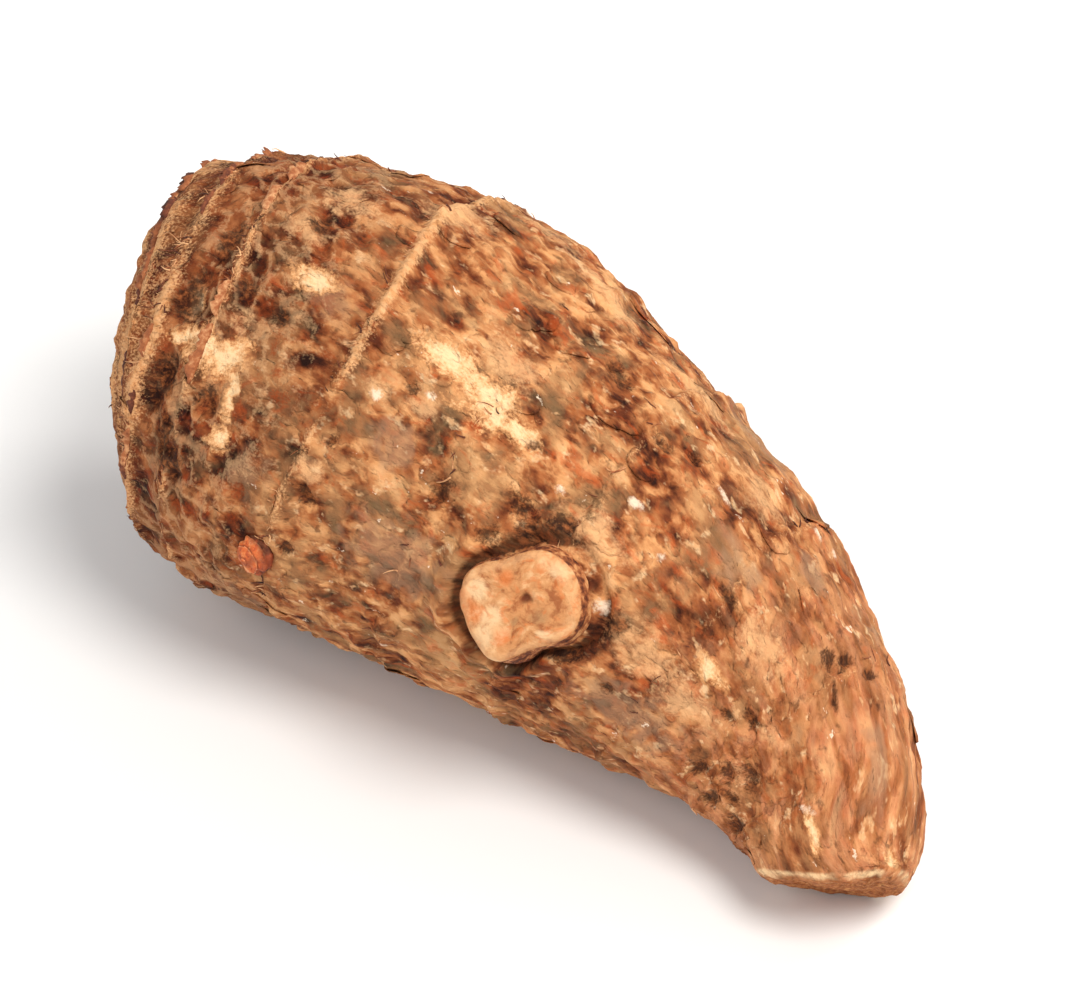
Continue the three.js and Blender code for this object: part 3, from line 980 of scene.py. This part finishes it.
def build_scraps(material):
    """Torn, papery strips of leaf base that still stand on the first rings and round the crown."""
    random = np.random.default_rng(SCRAP_SEED)
    row, angle, width, tall, lean = scrap_shapes(random)
    across = np.linspace(-0.5, 0.5, SCRAP_STEPS)
    rows = np.broadcast_to(row[:, None] + 0.2, (SCRAP_COUNT, SCRAP_STEPS)).ravel()
    angles = (angle[:, None] + width[:, None] * across / 20).ravel()
    foot, _, _ = skin_surface(rows, angles)
    outward, forward, _ = (axis[:, None] for axis in skin_frame(rows, angles))
    torn = random.uniform(0.45, 1.0, (SCRAP_COUNT, SCRAP_STEPS)) * (1 - (2 * np.abs(across)) ** 4 * 0.7)
    reach = (tall[:, None] * torn).reshape(-1, 1, 1)
    share = np.clip(SCRAP_SHARES, 0, 1)
    tilt = lean.repeat(SCRAP_STEPS)[:, None, None] * (0.5 + 0.8 * share)
    upright = np.cos(tilt) * outward - np.sin(tilt) * forward
    aside = np.sin(tilt) * outward + np.cos(tilt) * forward
    thickness = 0.07 * SCRAP_SIDES * (1.3 - SCRAP_SHARES)
    points = foot[:, None] + reach * SCRAP_SHARES * upright + thickness * aside
    raise_above_ground(points, SCRAPS_CLEAR)
    grid = points.reshape(SCRAP_COUNT, SCRAP_STEPS, len(SCRAP_SHARES), 3)
    fields = {"share": share[:, 0], "tone": 0.7 * random.random(SCRAP_COUNT)[:, None, None]}
    build_piece("leaf_base_scraps", grid, fields, grid, material)


def flake_outlines(count, random):
    """Distances of each flake's edge from its middle, in all directions."""
    turn = turns(FLAKE_AROUND)
    lobes = random.normal(0, 1, (count, 4, 1))
    waves_round = sum(lobes[:, k] * np.cos((k + 2) * turn + 7 * lobes[:, 3 - k]) for k in range(4))
    return (1 + 0.06 * waves_round) * random.uniform(0.9, 2.0, count)[:, None]


def build_flakes(material):
    """Thin scales of skin that have come loose along one edge."""
    random = np.random.default_rng(FLAKE_SEED)
    row, angle = scatter(FLAKE_COUNT, random)
    count = len(row)
    turn = turns(FLAKE_AROUND)
    outline = flake_outlines(count, random)
    stretch = random.uniform(1.0, 1.7, count)[:, None, None]
    along = stretch * FLAKE_SHARES[:, None] * (outline * np.cos(turn))[:, None]
    aside = FLAKE_SHARES[:, None] * (outline * np.sin(turn))[:, None]
    facing = random.uniform(0, 2 * math.pi, count)[:, None, None]
    free_side = np.cos(facing) * along + np.sin(facing) * aside
    rows = np.clip(row[:, None, None] + along, 0.3, LENGTH - 0.3).ravel()
    angles = (angle[:, None, None] + aside / measure("radius", row)[:, None, None]).ravel()
    skin, fields, places = skin_surface(rows, angles)
    outward, _, _ = skin_frame(rows, angles)
    lift = random.uniform(0.03, 0.2, count)[:, None, None] * (free_side + 0.2)
    lift = np.clip(lift, -0.15, 0.3) + 0.12 * FLAKE_TOP[:, None] - 0.02
    points = skin + lift.reshape(-1, 1) * outward
    raise_above_ground(points, FLAKES_CLEAR)
    fields["flake"] = fields["flake"] + 0.3
    shape = along.shape
    build_piece(
        "skin_flakes", points.reshape(*shape, 3), reshaped(fields, shape), places.reshape(*shape, 3),
        material)


# ---- Materials ----

def colour(red, green, blue):
    """A colour from sRGB values of 0 to 255, as Blender's linear values."""
    def linear(value):
        share = value / 255
        return share / 12.92 if share <= 0.04045 else ((share + 0.055) / 1.055) ** 2.4
    return (linear(red), linear(green), linear(blue), 1.0)


class Look:
    """A material under construction, with the node maths that its colours are made of.

    A value is a node's output or a plain number, and a shade is an output or a colour.
    """

    def __init__(self, name):
        self.material = bpy.data.materials.new(name)
        self.material.use_nodes = True
        self.tree = self.material.node_tree
        self.shader = self.tree.nodes["Principled BSDF"]

    def connect(self, source, socket):
        if isinstance(source, bpy.types.NodeSocket):
            self.tree.links.new(source, socket)
        else:
            socket.default_value = source

    def node(self, kind, output, inputs, **settings):
        """The output of a new node with these settings and inputs."""
        node = self.tree.nodes.new(kind)
        for name, value in settings.items():
            setattr(node, name, value)
        for name, value in inputs.items():
            self.connect(value, node.inputs[name])
        return node.outputs[output]

    def finish(self, **surface):
        """Sets the shader's sockets, where a low line stands for a space, and gives the material."""
        for name, value in surface.items():
            self.connect(value, self.shader.inputs[name.replace("_", " ")])
        return self.material

    def attribute(self, name, output="Fac"):
        return self.node("ShaderNodeAttribute", output, {}, attribute_name=name)

    def scaled(self, vector, scale):
        return self.node("ShaderNodeMapping", "Vector", {"Vector": vector, "Scale": scale})

    def noise(self, vector, scale, detail=3.0, roughness=0.55, distortion=0.0):
        inputs = {
            "Vector": vector, "Scale": scale, "Detail": detail, "Roughness": roughness,
            "Distortion": distortion,
        }
        return self.node("ShaderNodeTexNoise", "Fac", inputs)

    def plus(self, *values):
        total = values[0]
        for value in values[1:]:
            total = self.node("ShaderNodeMath", 0, {0: total, 1: value}, operation="ADD")
        return total

    def times(self, value, amount):
        return self.node("ShaderNodeMath", 0, {0: value, 1: amount}, operation="MULTIPLY")

    def between(self, value, low, high, to_low=0.0, to_high=1.0):
        """to_low at low, to_high at high and beyond, smooth between."""
        inputs = {"Value": value, "From Min": low, "From Max": high, "To Min": to_low, "To Max": to_high}
        return self.node("ShaderNodeMapRange", "Result", inputs, interpolation_type="SMOOTHSTEP")

    def mixed(self, share, a, b, blend="MIX"):
        inputs = {"Factor": share, "A": a, "B": b}
        return self.node("ShaderNodeMix", "Result", inputs, data_type="RGBA", blend_type=blend)

    def laid(self, base, value, start, full, strength, shade):
        """The base with a shade laid over it, from start up to its strength at full."""
        return self.mixed(self.between(value, start, full, 0.0, strength), base, shade)

    def ramp(self, value, *stops):
        """Shades at positions from 0 to 1, blended between."""
        node = self.tree.nodes.new("ShaderNodeValToRGB")
        self.connect(value, node.inputs["Fac"])
        elements = node.color_ramp.elements
        while len(elements) < len(stops):
            elements.new(0.5)
        for element, (position, shade) in zip(elements, stops):
            element.position = position
            element.color = shade
        return node.outputs["Color"]

    def bump(self, height, distance, under=None, strength=1.0):
        """A normal for this height. The distance is in metres."""
        inputs = {"Strength": strength, "Distance": distance, "Height": height}
        if under is not None:
            inputs["Normal"] = under
        return self.node("ShaderNodeBump", "Normal", inputs)


WHITISH = colour(246, 220, 192)
CREAM = colour(240, 202, 154)
PALE_TAN = colour(230, 176, 124)
FLESH = colour(200, 136, 84)
TAN = colour(212, 150, 96)
ROSY = colour(206, 134, 92)
OLIVE = colour(158, 122, 82)
BROWN = colour(160, 92, 50)
UMBER = colour(100, 46, 22)
DARK = colour(38, 13, 5)
RUST = colour(192, 82, 32)
BUD_ORANGE = colour(214, 114, 52)
CROWN_SHADE = colour(180, 146, 128)
DULL = colour(160, 124, 94)

# Marks laid over a colour in turn: the field, where it starts, where it is full, its strength and shade.
PATCH_MARKS = (
    ("pale", -0.4, 0.8, 0.65, PALE_TAN), ("scuff", -0.5, 0.05, 0.75, TAN),
    ("scuff", -0.15, 0.3, 1.0, PALE_TAN), ("scuff", 0.1, 0.7, 1.0, CREAM),
)
STUB_MARKS = (
    ("tint", 0.7, 1.5, 0.7, BUD_ORANGE), ("smear", 0.8, 1.6, 0.55, OLIVE),
    ("blotch", 0.8, 1.5, 0.75, CREAM),
)
# How strongly the mottle of the cut flesh breaks up each of its marks.
STUB_MOTTLE = {"tint": 1.2, "smear": 1.2, "blotch": 1.6}
# Marks on the bud's scales. The two dark ones are painted shade, in the step under each scale's edge and
# round the bud's foot; the pale one lightens the raised edge of each scale.
BUD_MARKS_AND_SHADE = (
    ("winding", 0.78, 1.0, 0.8, DARK), ("winding", 0.16, 0.0, 0.6, PALE_TAN),
    ("share", 0.5, 0.3, 0.8, DARK),
)


def bark_mask(look, drawn):
    """Above 0 where the outer bark still sits, below 0 where it has scaled off."""
    ragged = look.noise(drawn, 0.75, 3.0, 0.5, 0.3)
    return look.plus(look.times(look.attribute("flake"), 0.55), look.times(ragged, 2.6), -1.3)


def bark_colours(look, straight, drawn):
    """Outer bark over paler under bark, greyed in places, with painted light and shade that follow the
    relief.
    """
    broad = look.times(look.noise(drawn, 0.27, 3.0, 0.55, 0.3), 0.68)
    small = look.times(look.noise(drawn, 0.7, 3.0, 0.5, 0.3), 0.34)
    # Painted light and shade: the tone rises on the relief's high ground and falls in its low ground.
    relief = look.times(look.attribute("relief"), 0.04)
    plates = look.between(look.attribute("plate"), 0.0, 1.0, -0.025, 0.025)
    tone = look.plus(broad, small, relief, plates, 0.012)
    outer = look.ramp(tone, (0.39, DARK), (0.48, UMBER), (0.57, BROWN), (0.72, TAN))
    under = look.ramp(tone, (0.39, UMBER), (0.48, BROWN), (0.58, TAN), (0.74, PALE_TAN))
    base = look.mixed(look.between(bark_mask(look, drawn), -0.25, 0.3), under, outer)
    return look.laid(base, look.noise(straight, 0.16, 4.0, 0.66, 0.4), 0.44, 0.62, 0.5, OLIVE)


def bark_marks(look, base, straight, drawn, tip):
    """Rust spots, the streaks that run to the tip, pale spots, dark specks, dull patches and whitish
    flecks, partly painted glints.
    """
    rust = look.noise(drawn, 0.5, 4.0, 0.58, 0.6)
    rusty = look.plus(rust, look.between(look.attribute("rusty"), -0.4, 0.5, 0.0, 0.11))
    base = look.laid(base, rusty, 0.53, 0.72, 0.5, RUST)
    streak = look.noise(look.scaled(straight, (0.28, 1.0, 1.0)), 0.5, 4.0, 0.55, 0.5)
    streaks = look.ramp(streak, (0.34, UMBER), (0.46, BROWN), (0.58, ROSY), (0.74, PALE_TAN))
    base = look.mixed(look.times(tip, 0.55), base, streaks)
    small_flecks = look.between(look.noise(straight, 1.2, 3.0, 0.6), 0.45, 0.6)
    pale = look.mixed(small_flecks, PALE_TAN, CREAM)
    base = look.laid(base, look.noise(drawn, 0.62, 3.0, 0.6), 0.58, 0.7, 0.65, pale)
    base = look.laid(base, look.noise(straight, 0.7, 3.0, 0.5), 0.61, 0.74, 0.55, DARK)
    dull = look.plus(look.attribute("dull"), look.times(rust, 0.8))
    base = look.laid(base, dull, 0.2, 1.0, 0.55, DULL)
    # Whitish flecks, partly painted glints.
    return look.laid(base, look.noise(drawn, 0.45, 4.0, 0.7), 0.67, 0.71, 0.8, WHITISH)


def skin_marks(look, base, fine, grain):
    """Darker net cells and cracks, painted shade in the sunk places, and the light lines of the rings
    and the net.
    """
    ragged = look.between(grain, 0.3, 0.7, -0.25, 0.25)
    net = look.plus(look.attribute("net"), ragged)
    base = look.laid(base, net, 0.3, 0.9, 0.3, look.mixed(fine, TAN, CREAM))
    pit = look.plus(look.attribute("pit"), ragged)
    base = look.laid(base, pit, 0.2, 0.9, 0.7, look.mixed(fine, DARK, RUST))
    base = look.laid(base, look.attribute("crack"), 0.45, 1.2, 0.4, UMBER)
    # Painted shade in the rings' sunk feet, the stub's crevice and hollows, the buds' moats and the
    # crown ridges' feet.
    hollow_shade = look.plus(look.attribute("hollow_shade"), look.times(ragged, 0.4))
    hollow_shade_colour = look.mixed(look.between(fine, 0.4, 0.65), DARK, UMBER)
    base = look.laid(base, hollow_shade, 0.4, 1.3, 0.85, hollow_shade_colour)
    # Painted shade in the lowest places of the relief, the scattered pits most of all.
    base = look.laid(base, look.attribute("relief"), -0.8, -2.4, 0.7, DARK)
    line = look.plus(look.attribute("ring"), ragged)
    light = look.mixed(look.between(fine, 0.35, 0.6), TAN, PALE_TAN)
    return look.laid(base, line, 0.2, 0.75, 0.8, light)


def skin_patches(look, base, fine, grain):
    """Pale patches, tan at their edges and cream in their middles, then whitish flecks, partly painted
    glints, and dark stains.
    """
    ragged = look.between(grain, 0.3, 0.7, -0.15, 0.15)
    mottle = look.between(fine, 0.3, 0.7, -0.3, 0.3)
    for field, *mark in PATCH_MARKS:
        base = look.laid(base, look.plus(look.attribute(field), ragged, mottle), *mark)
    # Whitish flecks, partly painted glints.
    fleck_and_glint = look.plus(look.attribute("fleck_and_glint"), ragged)
    base = look.laid(base, fleck_and_glint, 0.05, 0.7, 0.8, WHITISH)
    stain = look.plus(look.attribute("stain"), look.between(grain, 0.3, 0.7, -0.2, 0.2))
    shade = look.mixed(look.between(fine, 0.42, 0.75), DARK, BROWN)
    return look.laid(base, stain, -0.1, 0.55, 0.85, shade)


def end_faces(look, base, straight, fine):
    """The broken tip's flesh with its light, broken rim, and the darker torn crown."""
    tip_face = look.attribute("tip_face")
    flesh = look.ramp(fine, (0.3, UMBER), (0.48, BROWN), (0.68, TAN))
    base = look.laid(base, tip_face, 0.05, 0.25, 0.8, flesh)
    rim = look.times(look.between(tip_face, 0.0, 0.03), look.between(tip_face, 0.12, 0.05))
    broad = look.between(look.noise(straight, 0.3, 2.0), 0.4, 0.6)
    broken = look.times(broad, look.between(fine, 0.3, 0.6, 0.3, 0.9))
    base = look.mixed(look.times(rim, broken), base, CREAM)
    return look.laid(base, look.attribute("crown_face"), 0.0, 0.5, 0.45, UMBER)


def skin_relief(look, straight, drawn, grain):
    """Grain, the edges of the scaled bark and fine lines along the corm, one over the other."""
    small = look.bump(grain, 0.00013)
    plates = look.bump(look.between(bark_mask(look, drawn), -0.25, 0.3), 0.0002, small)
    lines = look.noise(look.scaled(straight, (0.2, 1.0, 1.0)), 1.8, 3.0, 0.55)
    return look.bump(lines, 0.00025, plates)


def skin_material():
    look = Look("corky_skin")
    straight = look.attribute("straight", "Vector")
    along = look.node("ShaderNodeSeparateXYZ", "X", {0: straight})
    drawn = look.scaled(straight, (0.7, 1.0, 1.0))
    fine = look.noise(drawn, 1.6, 4.0, 0.65)
    grain = look.noise(straight, 3.6, 3.0, 0.6)
    base = bark_colours(look, straight, drawn)
    base = bark_marks(look, base, straight, drawn, look.between(along, 62, 95))
    base = look.mixed(look.between(along, 44, 2, 0.0, 0.9), base, CROWN_SHADE, "MULTIPLY")
    base = skin_marks(look, base, fine, grain)
    base = skin_patches(look, base, fine, grain)
    return look.finish(
        Base_Color=end_faces(look, base, straight, fine),
        Roughness=look.between(fine, 0.3, 0.7, 0.72, 0.92),
        Specular_IOR_Level=0.15,
        Normal=skin_relief(look, straight, drawn, grain),
    )


def cut_flesh(look, straight, grain):
    """The stub's cut face: mottled, blotched, lighter at its rim and dark in its pit."""
    mottle = look.noise(straight, 0.6, 4.0, 0.6, 0.3)
    flesh = look.ramp(mottle, (0.35, BROWN), (0.46, FLESH), (0.57, TAN), (0.72, PALE_TAN))
    for field, *mark in STUB_MARKS:
        broken = look.plus(look.attribute(field), look.times(mottle, STUB_MOTTLE[field]))
        flesh = look.laid(flesh, broken, *mark)
    rim = look.plus(look.attribute("rim"), look.times(grain, 1.2))
    flesh = look.laid(flesh, rim, 0.9, 1.6, 0.45, PALE_TAN)
    flesh = look.laid(flesh, look.noise(straight, 0.7, 4.0, 0.6, 0.5), 0.5, 0.66, 0.5, BUD_ORANGE)
    heart = look.plus(look.attribute("pit"), look.times(grain, 0.4))
    return look.laid(flesh, heart, 0.45, 1.1, 0.85, UMBER)


def stub_material():
    look = Look("cut_flesh")
    straight = look.attribute("straight", "Vector")
    grain = look.noise(straight, 2.6, 4.0, 0.65)
    bark = look.noise(straight, 0.8, 4.0, 0.65)
    cork = look.ramp(bark, (0.3, DARK), (0.42, UMBER), (0.52, BROWN), (0.64, TAN))
    face = look.plus(look.attribute("face"), look.times(grain, 0.5))
    return look.finish(
        Base_Color=look.laid(cork, face, 0.6, 0.95, 1.0, cut_flesh(look, straight, grain)),
        Roughness=0.75,
        Specular_IOR_Level=0.3,
        Normal=look.bump(grain, 0.0003, strength=0.9),
    )


def bud_material():
    look = Look("bud_scale")
    straight = look.attribute("straight", "Vector")
    grain = look.noise(straight, 1.4, 4.0, 0.65)
    scales = look.ramp(grain, (0.3, UMBER), (0.42, RUST), (0.56, BUD_ORANGE), (0.72, PALE_TAN))
    # Painted shade under each scale's edge and round the foot, and a paler raised edge on each scale.
    for field, *mark in BUD_MARKS_AND_SHADE:
        scales = look.laid(scales, look.attribute(field), *mark)
    patch = look.mixed(grain, DARK, RUST)
    scales = look.laid(scales, look.noise(straight, 0.35, 3.0, 0.6), 0.48, 0.58, 0.8, patch)
    return look.finish(Base_Color=scales, Roughness=0.75, Normal=look.bump(grain, 0.0003))


def fibre_material():
    look = Look("leaf_base_fibre")
    grain = look.noise(look.attribute("straight", "Vector"), 1.6, 3.0, 0.6)
    tone = look.plus(look.times(look.attribute("tone"), 0.6), look.times(grain, 0.6))
    shades = look.ramp(tone, (0.2, DARK), (0.45, UMBER), (0.65, BROWN), (0.9, PALE_TAN))
    return look.finish(Base_Color=shades, Roughness=0.85)


# ---- The studio ----

VIEW_AZIMUTH = 42.6
VIEW_ELEVATION = 40.0
VIEW_DISTANCE = 0.8
VIEW_LENS = 245
# Lights: name, azimuth, elevation, distance, size, power and tint.
LIGHTS = (
    ("key", 80, 58, 0.9, 0.42, 6.5, (1.0, 0.97, 0.93)),
    ("fill", -15, 35, 1.0, 0.8, 2.9, (0.97, 0.98, 1.0)),
    ("rim", 160, 38, 0.9, 0.4, 3.0, (1.0, 0.97, 0.93)),
)
FLOOR_COLOUR = (0.86, 0.86, 0.855, 1)
FLOOR_HALF = 1.5
FLOOR_HEIGHT = -0.00005
WORLD_COLOUR = (1.0, 0.99, 0.98, 1)
WORLD_STRENGTH = 0.55


def direction(azimuth, elevation):
    """Unit vector from the object towards a place at this azimuth and elevation, in degrees."""
    a, e = math.radians(azimuth), math.radians(elevation)
    return Vector((math.sin(a) * math.cos(e), -math.cos(a) * math.cos(e), math.sin(e)))


def aim(thing, place, target):
    thing.location = place
    thing.rotation_euler = (target - place).to_track_quat("-Z", "Y").to_euler()


def build_camera(target):
    data = bpy.data.cameras.new("camera")
    data.lens = VIEW_LENS
    camera = bpy.data.objects.new("camera", data)
    bpy.context.scene.collection.objects.link(camera)
    aim(camera, target + direction(VIEW_AZIMUTH, VIEW_ELEVATION) * VIEW_DISTANCE, target)
    bpy.context.scene.camera = camera


def soft_light(target, name, azimuth, elevation, distance, size, power, tint):
    data = bpy.data.lights.new(name, "AREA")
    data.shape = "DISK"
    data.size = size
    data.energy = power
    data.color = tint
    light = bpy.data.objects.new(name, data)
    bpy.context.scene.collection.objects.link(light)
    aim(light, target + direction(azimuth, elevation) * distance, target)


def build_floor():
    floor_look = Look("studio_floor")
    signs = [(-1, -1), (1, -1), (1, 1), (-1, 1)]
    corners = [(FLOOR_HALF * x, FLOOR_HALF * y, FLOOR_HEIGHT) for x, y in signs]
    mesh = bpy.data.meshes.new("studio_floor")
    mesh.from_pydata(corners, [], [(0, 1, 2, 3)])
    mesh.materials.append(floor_look.finish(Base_Color=FLOOR_COLOUR, Roughness=0.9))
    floor = bpy.data.objects.new("studio_floor", mesh)
    bpy.context.scene.collection.objects.link(floor)


def build_world():
    world = bpy.data.worlds.new("studio")
    world.use_nodes = True
    background = world.node_tree.nodes["Background"]
    background.inputs["Color"].default_value = WORLD_COLOUR
    background.inputs["Strength"].default_value = WORLD_STRENGTH
    bpy.context.scene.world = world


def build_studio(target):
    build_floor()
    build_world()
    for light in LIGHTS:
        soft_light(target, *light)
    bpy.context.scene.view_settings.view_transform = "Standard"


corm_low, corm_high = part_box(CORM)
corm_centre = (corm_low + corm_high) / 2
build_camera(corm_centre)
build_studio(corm_centre)
skin_look = skin_material()
build_skin(skin_look)
build_flakes(skin_look)
build_stub(stub_material())
build_buds(bud_material())
fibre_look = fibre_material()
build_fibres(fibre_look)
build_scraps(fibre_look)
